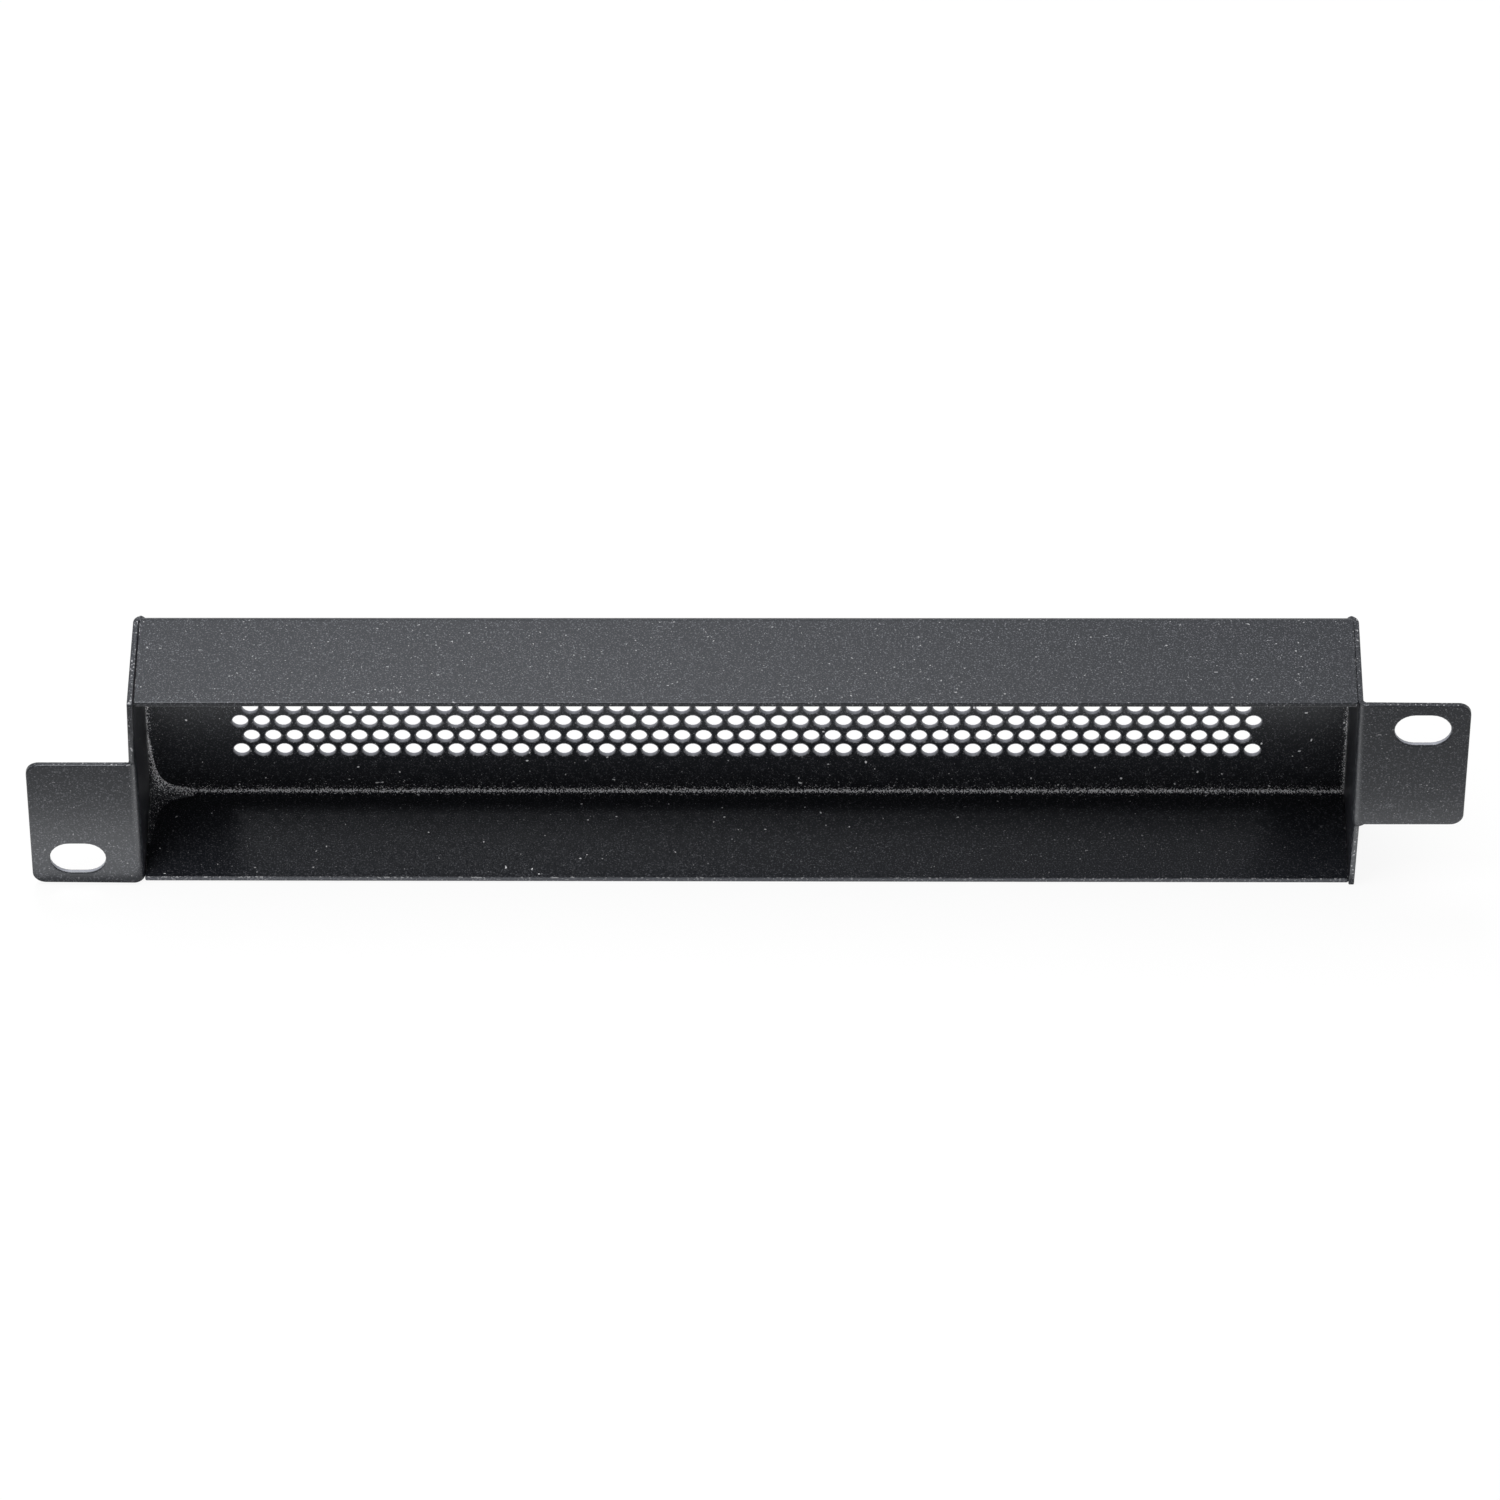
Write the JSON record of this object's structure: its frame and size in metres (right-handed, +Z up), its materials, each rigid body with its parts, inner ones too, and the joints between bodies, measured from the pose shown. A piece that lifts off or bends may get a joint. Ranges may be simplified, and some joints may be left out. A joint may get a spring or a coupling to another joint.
{
  "type": "perforated rack panel",
  "caption": "Folded sheet-steel vent panel for a half-width rack: an open tray with a perforated rear wall and slotted mounting ears, low on the left and high on the right.",
  "frame": {"origin": "the middle between the centres of the two ear slots, on the plane that the backs of both ears share, where they meet the rack's rails", "axes": "X along the panel's width, to the right as seen from its open front; Y to the rear, from the ears towards the perforated wall; Z up, along the panel's height"},
  "size_m": [0.2526, 0.0231, 0.0442],
  "materials": {
    "powder_coat": "fine-textured satin black powder coat on sheet steel"
  },
  "bodies": {
    "root": {"vent_panel": "powder_coat"}
  },
  "joints": []
}
